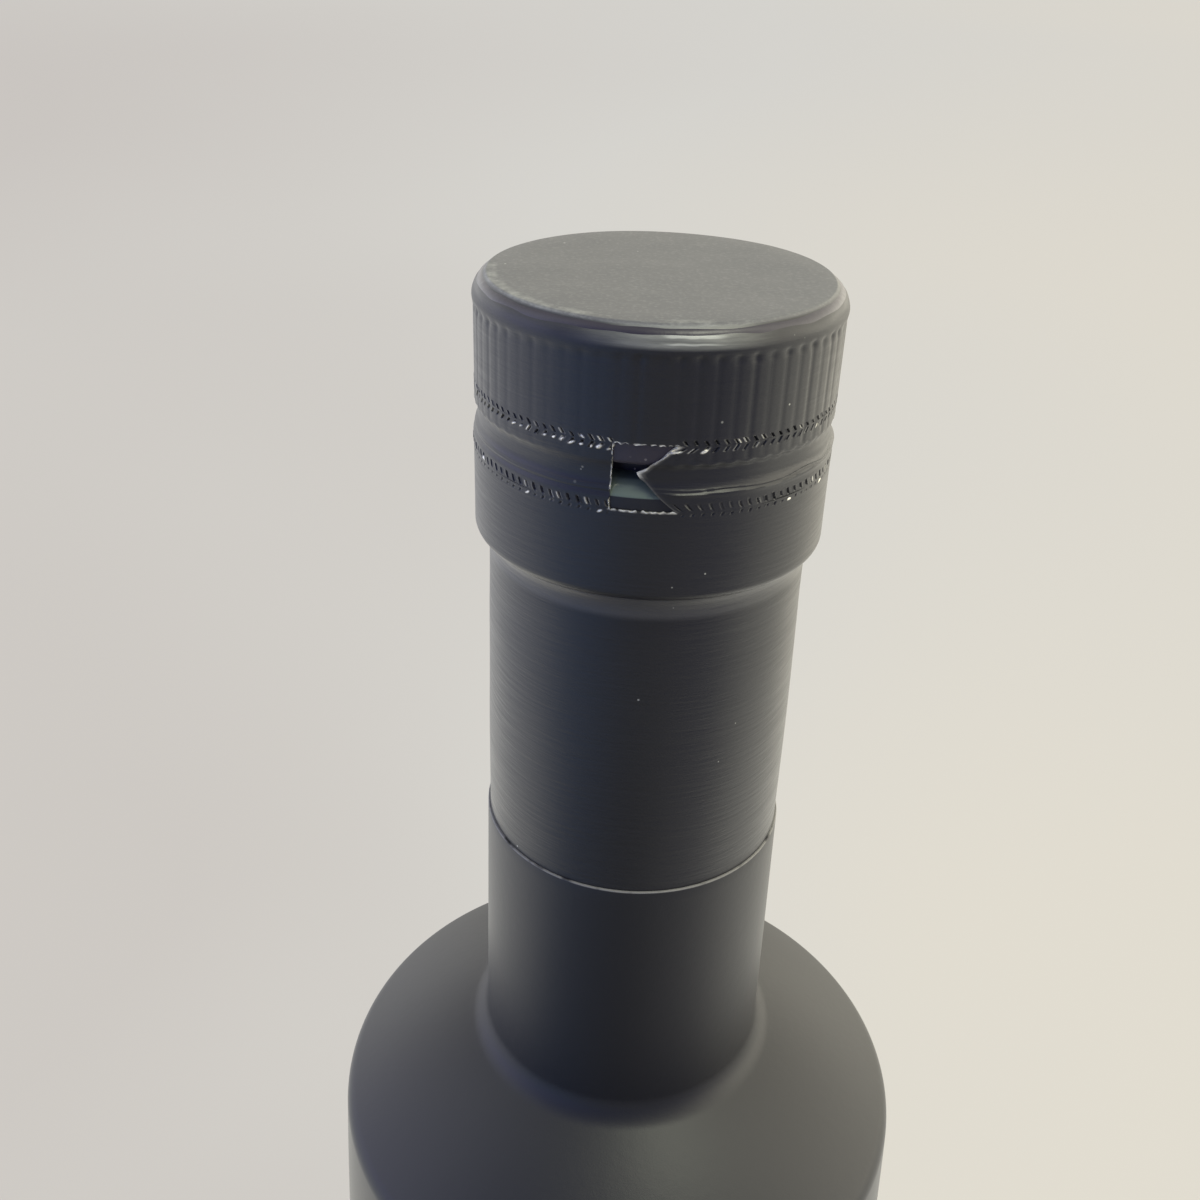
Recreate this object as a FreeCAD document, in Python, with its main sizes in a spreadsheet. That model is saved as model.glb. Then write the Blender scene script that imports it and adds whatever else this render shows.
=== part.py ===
import FreeCAD, Part
import math
import os
import Sketcher
from FreeCAD import Vector

# A tall round glass bottle of spirit, shut and sealed. +Z is up, the origin is the middle of the base
# and the cut end of the tear band faces -Y.
#
#   bottle         opaque glass: body, shoulder, neck, and the finish ring that the stopper sits on
#   stopper        the stopper's head, and the collar under it that stands on the glass lip
#   capsule_top    foil over the head: a flat disc, a rounded bead and a fluted wall
#   tear_band      the strip of foil that is pulled off, with its arrow end and the gap beside it
#   capsule_skirt  foil below the tear band: round the finish ring, in under it and down the neck
#
# The bottle can't be seen into, so the glass is solid. In life the foil is one shell, pressed onto the
# stopper and the glass and cut almost through along two lines, so its three parts meet edge to edge.

SIZES = (
    ("body_radius", 36.7, "widest radius of the body"),
    ("body_height", 213.3, "base to the corner of the shoulder"),
    ("lean_length", 68.7, "stretch of side wall below the shoulder that leans in"),
    ("lean_depth", 2.1, "how far the wall has leant in at the shoulder"),
    ("heel_round", 5.0, "round between base and side"),
    ("stand_width", 4.5, "flat ring that the bottle stands on"),
    ("base_push", 2.5, "depth of the shallow hollow inside that ring"),
    ("shoulder_height", 10.7, "corner of the shoulder to the foot of the neck"),
    ("shoulder_dome", 90.0, "radius of the slight dome of the shoulder"),
    ("shoulder_round", 3.0, "round over the corner of the shoulder"),
    ("neck_foot_round", 3.5, "round at the foot of the neck"),
    ("neck_length", 67.35, "foot of the neck to the finish ring"),
    ("neck_radius", 15.52, "neck of glass just under the finish ring"),
    ("seat_flare", 0.27, "widening of the neck from there to the foil's lower edge"),
    ("foil_length", 34.55, "finish ring to the foil's lower edge"),
    ("ledge_proud", 0.25, "how far the ledge of glass at that edge stands out past the foil"),
    ("foot_flare", 0.42, "widening of the neck from the ledge to its foot"),
    ("ring_overhang", 1.38, "finish ring past the neck"),
    ("ring_shelf", 0.95, "flat underside of the finish ring"),
    ("ring_round", 0.7, "round at the finish ring's lower corner"),
    ("ring_slope", 2.2, "height of the hollow slope below that underside"),
    ("slope_hollow", 8.0, "radius of the hollow slope"),
    ("finish_height", 11.05, "underside of the finish ring to the lip"),
    ("lip_bevel", 1.2, "bevel round the lip"),
    ("lip_round", 0.3, "rounds at both edges of the bevel"),
    ("head_setback", 0.1, "stopper's head inside the finish ring"),
    ("head_height", 11.75, "height of the stopper's head"),
    ("head_round", 1.2, "round at the head's upper edge"),
    ("head_foot_round", 0.45, "round at the head's lower edge"),
    ("collar_inset", 2.8, "stopper's collar inside its head"),
    ("stopper_gap", 1.65, "lip to the underside of the head"),
    ("foil_wall", 0.2, "thickness of the foil"),
    ("fit_gap", 0.03, "play between the foil and what it is pressed onto"),
    ("tear_above", 1.95, "upper tear line above the underside of the head"),
    ("tear_below", 2.4, "lower tear line below the lip"),
    ("groove_start", 0.2, "groove's upper edge above the underside of the head"),
    ("groove_lead", 0.5, "height of the groove's upper slope"),
    ("groove_rest", 0.4, "groove's lower edge above the lip"),
    ("groove_depth", 0.33, "groove pressed into the tear band between head and lip"),
    ("flute_count", 66, "flutes round the wall"),
    ("flute_radius", 0.5, "radius of a flute's round bottom"),
    ("flute_depth", 0.08, "depth of a flute"),
    ("flute_start", 2.1, "top of the foil to the upper end of the flutes"),
    ("band_end", 3.3, "middle plane to the straight end of the tear band"),
    ("arrow_back", 2.3, "middle plane to the back corners of the arrow end"),
    ("arrow_reach", 1.1, "middle plane to the arrow's point, on the other side"),
    ("arrow_rise", 0.25, "arrow's point above the middle of the tear band"),
)

# Heights from the base and radii of the glass.
EDGE_R = "Sizes.body_radius - Sizes.lean_depth"
EDGE_Z = "Sizes.body_height"
FOOT_Z = f"{EDGE_Z} + Sizes.shoulder_height"
RING_Z = f"{FOOT_Z} + Sizes.neck_length"
SLOPE_Z = f"{RING_Z} - Sizes.ring_slope"
LEDGE_Z = f"{RING_Z} - Sizes.foil_length"
LIP_Z = f"{RING_Z} + Sizes.finish_height"
BEVEL_Z = f"{LIP_Z} - Sizes.lip_bevel"
NECK_R = "Sizes.neck_radius"
SEAT_R = f"{NECK_R} + Sizes.seat_flare"
RING_R = f"{NECK_R} + Sizes.ring_overhang"
SHELF_R = f"{RING_R} - Sizes.ring_shelf"
LEDGE_R = f"{SEAT_R} + Sizes.fit_gap + Sizes.foil_wall + Sizes.ledge_proud"
FOOT_R = f"{LEDGE_R} + Sizes.foot_flare"

# The stopper, the foil over it and the two tear lines.
HEAD_Z = f"{LIP_Z} + Sizes.stopper_gap"
CROWN_Z = f"{HEAD_Z} + Sizes.head_height"
TOP_Z = f"{CROWN_Z} + Sizes.foil_wall"
UPPER_TEAR_Z = f"{HEAD_Z} + Sizes.tear_above"
LOWER_TEAR_Z = f"{LIP_Z} - Sizes.tear_below"
HEAD_R = f"{RING_R} - Sizes.head_setback"
INSIDE = "Sizes.fit_gap"
OUTSIDE = "Sizes.fit_gap + Sizes.foil_wall"

doc = FreeCAD.newDocument("SealedBottle")


def make_sheet():
    """A row for each size: its name, its value in millimetres and what it measures."""
    sheet = doc.addObject("Spreadsheet::Sheet", "Sizes")
    for row, (alias, value, meaning) in enumerate(SIZES, start=1):
        sheet.set(f"A{row}", alias)
        sheet.set(f"B{row}", str(value))
        sheet.set(f"C{row}", meaning)
        sheet.setAlias(f"B{row}", alias)
    doc.recompute()
    return sheet


sheet = make_sheet()


def number(expression):
    """The value that an expression has now, as a plain number."""
    value = sheet.evalExpression(expression)
    return float(getattr(value, "Value", value))


def new_body(name):
    """An empty body whose label names its file."""
    body = doc.addObject("PartDesign::Body", name)
    body.Label = name
    return body


def new_sketch(body, name, role):
    """An empty sketch on the body's own origin plane that has this role."""
    sketch = body.newObject("Sketcher::SketchObject", name)
    plane = next(item for item in body.Origin.OriginFeatures if item.Role == role)
    sketch.AttachmentSupport = [(plane, "")]
    sketch.MapMode = "FlatFace"
    return sketch


def hold_point(sketch, edge, end, across, up):
    """Hold one end of an edge at two distances from the origin, each given as an expression."""
    for kind, axis, expression in (("DistanceX", -2, across), ("DistanceY", -1, up)):
        if expression == "0":
            sketch.addConstraint(Sketcher.Constraint("PointOnObject", edge, end, axis))
            continue
        value = number(expression)
        held = sketch.addConstraint(Sketcher.Constraint(kind, -1, 1, edge, end, value))
        sketch.setExpression(f"Constraints[{held}]", expression)


def arc_between(start, end, radius, bulges_out):
    """The short arc of this radius between two points of an outline that runs anticlockwise."""
    chord = end - start
    inward = Vector(-chord.y, chord.x, 0).normalize()
    side = 1 if bulges_out else -1
    centre = (start + end) / 2 + inward * side * math.sqrt(radius ** 2 - chord.Length ** 2 / 4)
    first, last = (start, end) if bulges_out else (end, start)
    circle = Part.Circle(centre, Vector(0, 0, 1), radius)
    return Part.ArcOfCircle(circle, circle.parameter(first), circle.parameter(last))


def draw_outline(sketch, corners, bends):
    """Close an outline through the corners, anticlockwise, with every corner and radius held.

    bends gives the edges that are arcs, by number: the radius, and whether the arc bulges outward.
    """
    points = [Vector(number(across), number(up), 0) for across, up in corners]
    count = len(corners)
    ends = []
    for edge in range(count):
        start, end = points[edge], points[(edge + 1) % count]
        if edge not in bends:
            sketch.addGeometry(Part.LineSegment(start, end), False)
            ends.append((1, 2))
            continue
        radius, bulges_out = bends[edge]
        sketch.addGeometry(arc_between(start, end, number(radius), bulges_out), False)
        ends.append((1, 2) if bulges_out else (2, 1))
    for edge, (across, up) in enumerate(corners):
        after = (edge + 1) % count
        sketch.addConstraint(Sketcher.Constraint("Coincident", edge, ends[edge][1], after, ends[after][0]))
        hold_point(sketch, edge, ends[edge][0], across, up)
    for edge, (radius, _) in bends.items():
        held = sketch.addConstraint(Sketcher.Constraint("Radius", edge, number(radius)))
        sketch.setExpression(f"Constraints[{held}]", radius)


def turn_body(name, corners, bends):
    """A body of revolution from its half section."""
    body = new_body(name)
    sketch = new_sketch(body, f"{name}_section", "XZ_Plane")
    draw_outline(sketch, corners, bends)
    turned = body.newObject("PartDesign::Revolution", f"{name}_turned")
    turned.Profile = sketch
    turned.ReferenceAxis = (sketch, ["V_Axis"])
    turned.Angle = 360.0
    doc.recompute()
    return body


def round_rim(body, name, across, up, size):
    """Round the circular edge that has this radius and height."""
    base = body.Tip
    place = Vector(0, 0, number(up))
    rims = [
        f"Edge{index}"
        for index, edge in enumerate(base.Shape.Edges, start=1)
        if not edge.Degenerated
        and isinstance(edge.Curve, Part.Circle)
        and edge.Curve.Center.isEqual(place, 0.001)
        and abs(edge.Curve.Radius - number(across)) < 0.001
    ]
    fillet = body.newObject("PartDesign::Fillet", name)
    fillet.Base = (base, rims)
    fillet.setExpression("Radius", size)
    doc.recompute()


def cut_away(body, sketch, name, length):
    """Cut a sketch's outline out of the body on the side that the sketch faces."""
    whole = body.Tip.Shape.Volume
    pocket = body.newObject("PartDesign::Pocket", name)
    pocket.Profile = sketch
    pocket.Reversed = True
    pocket.setExpression("Length", length)
    doc.recompute()
    if not pocket.Shape.Volume < whole:
        raise RuntimeError(f"{name} cuts nothing")
    return pocket


def make_bottle():
    """The glass: hollowed base, side that leans in, domed shoulder, neck, ledge and finish ring."""
    stand = "Sizes.body_radius - Sizes.heel_round - Sizes.stand_width"
    corners = (
        ("0", "Sizes.base_push"),
        (stand, "0"),
        ("Sizes.body_radius", "0"),
        ("Sizes.body_radius", f"{EDGE_Z} - Sizes.lean_length"),
        (EDGE_R, EDGE_Z),
        (FOOT_R, FOOT_Z),
        (LEDGE_R, LEDGE_Z),
        (SEAT_R, LEDGE_Z),
        (NECK_R, SLOPE_Z),
        (SHELF_R, RING_Z),
        (RING_R, RING_Z),
        (RING_R, BEVEL_Z),
        (f"{RING_R} - Sizes.lip_bevel", LIP_Z),
        ("0", LIP_Z),
    )
    bends = {
        0: (f"(({stand}) ^ 2 + Sizes.base_push ^ 2) / (2 * Sizes.base_push)", False),
        3: ("(Sizes.lean_length ^ 2 + Sizes.lean_depth ^ 2) / (2 * Sizes.lean_depth)", True),
        4: ("Sizes.shoulder_dome", True),
        8: ("Sizes.slope_hollow", False),
    }
    body = turn_body("bottle", corners, bends)
    round_rim(body, "heel", "Sizes.body_radius", "0", "Sizes.heel_round")
    round_rim(body, "shoulder_corner", EDGE_R, EDGE_Z, "Sizes.shoulder_round")
    round_rim(body, "neck_foot", FOOT_R, FOOT_Z, "Sizes.neck_foot_round")
    round_rim(body, "ring_corner", RING_R, RING_Z, "Sizes.ring_round")
    round_rim(body, "bevel_foot", RING_R, BEVEL_Z, "Sizes.lip_round")
    round_rim(body, "bevel_top", f"{RING_R} - Sizes.lip_bevel", LIP_Z, "Sizes.lip_round")
    return body


def make_stopper():
    """The stopper's round head on its narrower collar, which stands on the glass lip."""
    collar = f"{HEAD_R} - Sizes.collar_inset"
    corners = (
        ("0", LIP_Z),
        (collar, LIP_Z),
        (collar, HEAD_Z),
        (HEAD_R, HEAD_Z),
        (HEAD_R, CROWN_Z),
        ("0", CROWN_Z),
    )
    body = turn_body("stopper", corners, {})
    round_rim(body, "head_edge", HEAD_R, CROWN_Z, "Sizes.head_round")
    round_rim(body, "head_foot", HEAD_R, HEAD_Z, "Sizes.head_foot_round")
    return body


def make_capsule_top():
    """The foil over the stopper's head, with upright flutes pressed in round its wall."""
    inner = f"{HEAD_R} + {INSIDE}"
    outer = f"{HEAD_R} + {OUTSIDE}"
    corners = (
        (inner, UPPER_TEAR_Z),
        (outer, UPPER_TEAR_Z),
        (outer, TOP_Z),
        ("0", TOP_Z),
        ("0", CROWN_Z),
        (inner, CROWN_Z),
    )
    body = turn_body("capsule_top", corners, {})
    round_rim(body, "bead_outside", outer, TOP_Z, f"Sizes.head_round + {OUTSIDE}")
    round_rim(body, "bead_inside", inner, CROWN_Z, f"Sizes.head_round + {INSIDE}")
    press_flutes(body, outer)
    return body


def press_flutes(body, outer):
    """One round-bottomed flute on the wall, from the tear line up, repeated all round."""
    sketch = new_sketch(body, "flute_section", "XY_Plane")
    sketch.setExpression("AttachmentOffset.Base.z", UPPER_TEAR_Z)
    across = f"{outer} + Sizes.flute_radius - Sizes.flute_depth"
    centre = Vector(number(across), 0, 0)
    sketch.addGeometry(Part.Circle(centre, Vector(0, 0, 1), number("Sizes.flute_radius")), False)
    hold_point(sketch, 0, 3, across, "0")
    held = sketch.addConstraint(Sketcher.Constraint("Radius", 0, number("Sizes.flute_radius")))
    sketch.setExpression(f"Constraints[{held}]", "Sizes.flute_radius")
    doc.recompute()
    flute = cut_away(body, sketch, "flute", f"{TOP_Z} - Sizes.flute_start - ({UPPER_TEAR_Z})")
    ring = body.newObject("PartDesign::PolarPattern", "flutes")
    ring.Originals = [flute]
    ring.Axis = (sketch, ["N_Axis"])
    ring.Angle = 360.0
    ring.setExpression("Occurrences", "Sizes.flute_count")
    body.Tip = ring
    doc.recompute()


def make_tear_band():
    """The foil between the tear lines: grooved over the gap, open in front beside the arrow end."""
    lip_inner = f"{RING_R} + {INSIDE}"
    lip_outer = f"{RING_R} + {OUTSIDE}"
    head_inner = f"{HEAD_R} + {INSIDE}"
    head_outer = f"{HEAD_R} + {OUTSIDE}"
    groove_top = f"{HEAD_Z} + Sizes.groove_start"
    groove_floor = f"{groove_top} - Sizes.groove_lead"
    groove_end = f"{LIP_Z} + Sizes.groove_rest"
    corners = (
        (lip_inner, LOWER_TEAR_Z),
        (lip_outer, LOWER_TEAR_Z),
        (lip_outer, BEVEL_Z),
        (f"{head_outer} - Sizes.groove_depth", groove_end),
        (f"{head_outer} - Sizes.groove_depth", groove_floor),
        (head_outer, groove_top),
        (head_outer, UPPER_TEAR_Z),
        (head_inner, UPPER_TEAR_Z),
        (head_inner, groove_top),
        (f"{head_inner} - Sizes.groove_depth", groove_floor),
        (f"{head_inner} - Sizes.groove_depth", groove_end),
        (lip_inner, BEVEL_Z),
    )
    body = turn_body("tear_band", corners, {})
    cut_gap(body)
    return body


def cut_gap(body):
    """Open the band in front, from its straight end to the arrow that its other end is cut to."""
    sketch = new_sketch(body, "gap_outline", "XZ_Plane")
    middle = f"({UPPER_TEAR_Z} + {LOWER_TEAR_Z}) / 2 + Sizes.arrow_rise"
    corners = (
        ("-Sizes.band_end", LOWER_TEAR_Z),
        ("Sizes.arrow_back", LOWER_TEAR_Z),
        ("-Sizes.arrow_reach", middle),
        ("Sizes.arrow_back", UPPER_TEAR_Z),
        ("-Sizes.band_end", UPPER_TEAR_Z),
    )
    draw_outline(sketch, corners, {})
    doc.recompute()
    cut_away(body, sketch, "gap", f"2 * ({RING_R})")


def make_capsule_skirt():
    """The foil round the finish ring, turned in under it and drawn down the neck to the ledge."""
    inner = f"{RING_R} + {INSIDE}"
    outer = f"{RING_R} + {OUTSIDE}"
    under_inner = f"{RING_Z} - ({INSIDE})"
    under_outer = f"{RING_Z} - ({OUTSIDE})"
    corners = (
        (f"{SEAT_R} + {INSIDE}", LEDGE_Z),
        (f"{SEAT_R} + {OUTSIDE}", LEDGE_Z),
        (f"{NECK_R} + {OUTSIDE}", SLOPE_Z),
        (f"{SHELF_R} + {OUTSIDE}", under_outer),
        (outer, under_outer),
        (outer, LOWER_TEAR_Z),
        (inner, LOWER_TEAR_Z),
        (inner, under_inner),
        (f"{SHELF_R} + {INSIDE}", under_inner),
        (f"{NECK_R} + {INSIDE}", SLOPE_Z),
    )
    bends = {2: ("Sizes.slope_hollow", False), 8: ("Sizes.slope_hollow", True)}
    body = turn_body("capsule_skirt", corners, bends)
    round_rim(body, "skirt_outside", outer, under_outer, f"Sizes.ring_round + {OUTSIDE}")
    round_rim(body, "skirt_inside", inner, under_inner, f"Sizes.ring_round + {INSIDE}")
    return body


def check(bodies):
    """Stop if any object of the document failed, or if a body isn't one sound solid."""
    failed = [item.Name for item in doc.Objects if {"Invalid", "Error"} & set(item.State)]
    if failed:
        raise RuntimeError(f"failed: {failed}")
    for body in bodies:
        if body.Shape.isNull() or not body.Shape.isValid() or len(body.Shape.Solids) != 1:
            raise RuntimeError(f"{body.Label} isn't one sound solid")


def write(bodies):
    """One STEP file for each body, named after its label."""
    os.makedirs("parts", exist_ok=True)
    for body in bodies:
        body.Shape.exportStep(f"parts/{body.Label}.step")


bodies = [make_bottle(), make_stopper(), make_capsule_top(), make_tear_band(), make_capsule_skirt()]
doc.recompute()
check(bodies)
write(bodies)
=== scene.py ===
import bpy
import math
import numpy as np
from mathutils import Matrix, Vector


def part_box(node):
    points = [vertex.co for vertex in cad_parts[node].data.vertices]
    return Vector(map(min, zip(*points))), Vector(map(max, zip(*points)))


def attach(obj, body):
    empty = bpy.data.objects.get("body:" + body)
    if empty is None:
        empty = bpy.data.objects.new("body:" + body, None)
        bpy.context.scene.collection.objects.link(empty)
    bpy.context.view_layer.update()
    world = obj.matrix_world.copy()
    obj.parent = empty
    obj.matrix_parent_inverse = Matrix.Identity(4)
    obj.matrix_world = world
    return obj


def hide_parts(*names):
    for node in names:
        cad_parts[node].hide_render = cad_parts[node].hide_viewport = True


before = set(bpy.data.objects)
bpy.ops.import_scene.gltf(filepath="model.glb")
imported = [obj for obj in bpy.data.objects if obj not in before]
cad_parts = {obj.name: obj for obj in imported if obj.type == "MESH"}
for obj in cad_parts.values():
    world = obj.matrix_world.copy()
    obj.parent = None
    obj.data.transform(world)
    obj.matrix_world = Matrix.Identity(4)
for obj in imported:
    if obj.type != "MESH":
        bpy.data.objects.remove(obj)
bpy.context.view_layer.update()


# ---------------------------------------------------------------------------------------------
# The bottle: heavy pressed glass under an opaque satin black coat. Shallow hollow base, side that
# leans in towards the shoulder, domed shoulder, long neck with a moulded ledge where the foil
# stops. The finish ring on top is bare glass, and its lip shows through the gap in the tear band.

MM = 0.001
LIP_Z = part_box("bottle")[1][2] / MM
LEDGE_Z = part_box("capsule_skirt")[0][2] / MM
BODY_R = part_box("bottle")[1][0] / MM
HEEL_ROUND = 5.0
STAND_R = 27.2
BASE_PUSH = 2.5
SHOULDER_Z = 213.3
LEAN_LENGTH = 68.7
LEAN_DEPTH = 2.1
DOME_R = 90.0
SHOULDER_ROUND = 3.0
FOOT_Z = 224.0
FOOT_R = 16.69
FOOT_ROUND = 3.5
LEDGE_R = 16.27
SEAT_R = 15.79
NECK_R = 15.52
RING_Z = 291.35
RING_R = 16.9
SHELF_R = 15.95
LIP_BEVEL = 1.2

COAT_BLACK = (0.012, 0.012, 0.014)
COAT_DUST = (0.20, 0.20, 0.20)
# Painted highlight: the colour the coat takes along the edge of the ledge.
COAT_LEDGE_HIGHLIGHT = (0.20, 0.195, 0.185)
BARE_GLASS = (0.13, 0.165, 0.14)


def run(start, end, steps):
    """Points evenly spaced on the straight line between two points of a section, as complex numbers
    whose real part is the radius and whose imaginary part is the height."""
    return start + (end - start) * np.linspace(0, 1, steps)


def arc(centre, radius, first, last, steps):
    """Points on a circle: centre + radius * e^(i angle), the angle going evenly from first to last."""
    return centre + radius * np.exp(1j * np.linspace(first, last, steps))


def section(*stretches):
    """The stretches of a section end to end, each without the point that the next one starts at."""
    return np.concatenate([stretch[:-1] for stretch in stretches[:-1]] + [stretches[-1]])


def circles_meet(centre_a, radius_a, centre_b, radius_b, side):
    """One of the two points at radius_a from centre_a and at radius_b from centre_b: along the line
    between the centres, then off it to the left (side 1) or to the right (side -1)."""
    gap = abs(centre_b - centre_a)
    along = (gap ** 2 + radius_a ** 2 - radius_b ** 2) / (2 * gap)
    off = math.sqrt(radius_a ** 2 - along ** 2)
    return centre_a + (centre_b - centre_a) / gap * (along + 1j * side * off)


def turned(radius, azimuth, height):
    """x, y, z in metres of points given by radius and height in mm and an azimuth that is 0 at -Y
    and grows towards +X: x = r sin a, y = -r cos a."""
    return np.stack([radius * np.sin(azimuth), -radius * np.cos(azimuth), height + 0 * azimuth], -1) * MM


def grid_mesh(name, points, ring=True, loop=False, poles=(False, False), marks=None):
    """A mesh from a grid of points, rows by columns. Faces join each point to its neighbours in the
    next row and column. With ring the last column joins the first, and with loop the last row does;
    a loop that is no ring gets a face over each end. A pole is a row whose points all coincide, kept
    as one vertex. marks are values for each point, written as attributes."""
    rows, columns = points.shape[:2]
    index = np.arange(rows * columns).reshape(rows, columns)
    if poles[0]:
        index[0] = index[0, 0]
    if poles[1]:
        index[-1] = index[-1, 0]
    ends = [index[::-1, 0].tolist(), index[:, -1].tolist()] if loop and not ring else []
    if ring:
        index = np.concatenate([index, index[:, :1]], 1)
    if loop:
        index = np.concatenate([index, index[:1]])
    quads = np.stack([index[:-1, :-1], index[:-1, 1:], index[1:, 1:], index[1:, :-1]], -1).reshape(-1, 4)
    at_first = quads[:, 0] == quads[:, 1]
    at_last = quads[:, 2] == quads[:, 3]
    whole = quads[~(at_first | at_last)]
    first_fan = quads[at_first][:, [0, 2, 3]]
    last_fan = quads[at_last][:, [0, 1, 2]]
    used, packed = np.unique(np.concatenate([whole.ravel(), first_fan.ravel(), last_fan.ravel()]),
                             return_inverse=True)
    cuts = np.cumsum([whole.size, first_fan.size])
    whole, first_fan, last_fan = np.split(packed, cuts)
    faces = whole.reshape(-1, 4).tolist() + first_fan.reshape(-1, 3).tolist()
    faces = faces + last_fan.reshape(-1, 3).tolist() + ends
    mesh = bpy.data.meshes.new(name)
    mesh.from_pydata(points.reshape(-1, 3)[used], [], faces)
    for label, values in (marks or {}).items():
        attribute = mesh.attributes.new(label, "FLOAT", "POINT")
        values = (values + np.zeros((rows, columns))).ravel()[used]
        attribute.data.foreach_set("value", values.astype(np.float32))
    mesh.shade_smooth()
    mesh.set_sharp_from_angle(angle=math.radians(40))
    piece = bpy.data.objects.new(name, mesh)
    bpy.context.collection.objects.link(piece)
    return piece


class Wire:
    """An output of a material's nodes. Arithmetic on it adds Math nodes, in either order of terms,
    and node() adds any other node: its type, its settings, then values or wires for its inputs. A
    ramp's settings are its stops, as places with colours, and ease, which is how they are joined."""

    def __init__(self, tree, socket=None):
        self.tree = tree
        self.socket = socket

    def node(self, kind, settings=None, inputs=None, output=0):
        made = self.tree.nodes.new(kind)
        for key, value in (settings or {}).items():
            if key == "stops":
                for place, (position, colour) in enumerate(value):
                    stops = made.color_ramp.elements
                    stop = stops[place] if place < len(stops) else stops.new(position)
                    stop.position = position
                    stop.color = (*colour, 1.0)
            elif key == "ease":
                made.color_ramp.interpolation = value
            else:
                setattr(made, key, value)
        for key, value in (inputs or {}).items():
            if isinstance(value, Wire):
                self.tree.links.new(value.socket, made.inputs[key])
            else:
                made.inputs[key].default_value = value
        return Wire(self.tree, made.outputs[output] if len(made.outputs) else None)

    def math(self, operation, first, second=0.0):
        return self.node("ShaderNodeMath", {"operation": operation}, {0: first, 1: second})

    def __add__(self, other):
        return self.math("ADD", self, other)

    def __radd__(self, other):
        return self.math("ADD", other, self)

    def __sub__(self, other):
        return self.math("SUBTRACT", self, other)

    def __rsub__(self, other):
        return self.math("SUBTRACT", other, self)

    def __mul__(self, other):
        return self.math("MULTIPLY", self, other)

    def __rmul__(self, other):
        return self.math("MULTIPLY", other, self)

    def __truediv__(self, other):
        return self.math("DIVIDE", self, other)

    def __rtruediv__(self, other):
        return self.math("DIVIDE", other, self)

    def __pow__(self, other):
        return self.math("POWER", self, other)

    def step(self, low, high):
        """0 below low, 1 above high, smooth between. With low above high it falls instead."""
        return self.node("ShaderNodeMapRange", {"interpolation_type": "SMOOTHSTEP"},
                         {"Value": self, "From Min": low, "From Max": high})

    def blend(self, below, above):
        """A colour between two colours, by this value."""
        return self.node("ShaderNodeMix", {"data_type": "RGBA"},
                         {0: self, 6: colour_of(below), 7: colour_of(above)}, 2)


def colour_of(value):
    """A colour for a socket: a wire as it is, three numbers with an alpha of 1."""
    return value if isinstance(value, Wire) else (*value, 1.0)


def new_material(name):
    """An empty node material and a wire to start from."""
    material = bpy.data.materials.new(name)
    material.use_nodes = True
    material.node_tree.nodes.clear()
    return material, Wire(material.node_tree)


def rise(height, low, high):
    """0 below low and 1 above high, both in mm, and smooth between; it falls if low is above high."""
    return height.step(low * MM, high * MM)


def place_of(start):
    """The piece's own coordinates in metres, whole and as x, y and z."""
    place = start.node("ShaderNodeTexCoord", output=3)
    return (place, *(start.node("ShaderNodeSeparateXYZ", {}, {0: place}, axis) for axis in range(3)))


def grain(start, place, stretch, scale, detail=2.0, rough=0.5):
    """Noise from 0 to 1 whose grains are 1 / scale metres, squeezed by stretch along x, y and z."""
    squeezed = start.node("ShaderNodeVectorMath", {"operation": "MULTIPLY"}, {0: place, 1: stretch})
    return start.node("ShaderNodeTexNoise", {}, {"Vector": squeezed, "Scale": scale, "Detail": detail,
                                                 "Roughness": rough})


def specks(start, place, scale, share, size):
    """Scattered dots: the cells of a Voronoi pattern, dotted at their centres in a share of them."""
    cells = {"Vector": place, "Scale": scale}
    near = start.node("ShaderNodeTexVoronoi", {}, cells)
    tint = start.node("ShaderNodeTexVoronoi", {}, cells, 1)
    pick = start.node("ShaderNodeSeparateColor", {}, {0: tint})
    return near.step(size, size * 0.6) * pick.math("LESS_THAN", pick, share)


def surface(start, inputs, bump=None, depth=0.0):
    """The Principled shader and the output, with a Bump node under it where a height is given."""
    if bump is not None:
        inputs = inputs | {"Normal": start.node("ShaderNodeBump", {}, {"Height": bump, "Distance": depth})}
    shader = start.node("ShaderNodeBsdfPrincipled", {}, inputs)
    start.node("ShaderNodeOutputMaterial", {}, {0: shader})


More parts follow.
